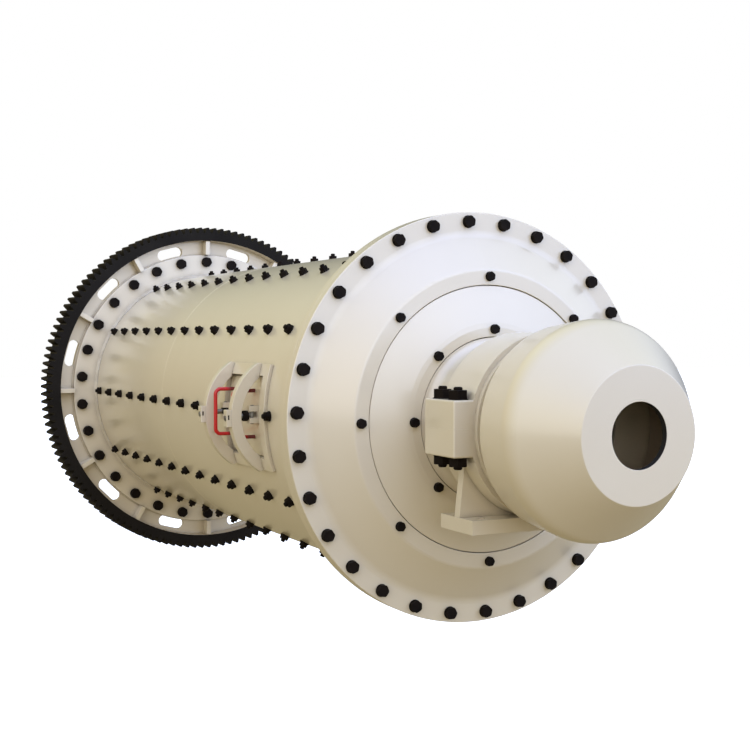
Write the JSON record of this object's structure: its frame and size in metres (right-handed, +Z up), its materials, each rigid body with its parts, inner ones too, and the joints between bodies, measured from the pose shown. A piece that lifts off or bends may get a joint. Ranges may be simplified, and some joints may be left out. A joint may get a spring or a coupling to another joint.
{
  "type": "ball mill",
  "caption": "Horizontal ball mill: flanged drum with a girth gear, conical heads, a bolted manhole and a bell-shaped feed hood, turning in two trunnion bearings on pedestals.",
  "frame": {"origin": "middle of the underside of the feed bearing's sole plate", "axes": "+X along the mill axis towards the feed hood, +Z up; the manhole is on the side that faces -Y"},
  "size_m": [6.747, 2.6296, 2.63],
  "materials": {
    "cream_paint": "gloss",
    "gear_iron": "satin",
    "red_paint": "gloss",
    "bright_steel": "satin",
    "bolt_steel": "satin"
  },
  "bodies": {
    "bearings": {"discharge_bearing_base": "cream_paint", "discharge_bearing_cap": "cream_paint", "discharge_bearing_seals": "cream_paint", "discharge_pedestal_webs": "cream_paint", "discharge_sole_plate": "cream_paint", "feed_bearing_base": "cream_paint", "feed_bearing_cap": "cream_paint", "feed_bearing_seals": "cream_paint", "feed_pedestal_webs": "cream_paint", "feed_sole_plate": "cream_paint"},
    "drum": {"discharge_head": "cream_paint", "discharge_head_plate": "cream_paint", "discharge_shell_flange": "cream_paint", "discharge_spout": "cream_paint", "discharge_trunnion": "cream_paint", "feed_head": "cream_paint", "feed_head_plate": "cream_paint", "feed_hood": "cream_paint", "feed_hood_back": "cream_paint", "feed_shell_flange": "cream_paint", "feed_trunnion": "cream_paint", "girth_gear_ribs": "cream_paint", "girth_gear_rim": "gear_iron", "girth_gear_web": "cream_paint", "manhole_bow_blocks": "cream_paint", "manhole_bow_feed_side": "cream_paint", "manhole_bow_gear_side": "cream_paint", "manhole_clevises": "bright_steel", "manhole_cover": "cream_paint", "manhole_frame": "cream_paint", "manhole_handles": "red_paint", "manhole_studs": "bolt_steel", "shell": "cream_paint"}
  },
  "joints": [
    {"name": "drum_spin", "type": "hinge", "parent": "bearings", "child": "drum", "pos_m": [0, 0, 0.488], "axis": [1, 0, 0], "continuous": true}
  ]
}
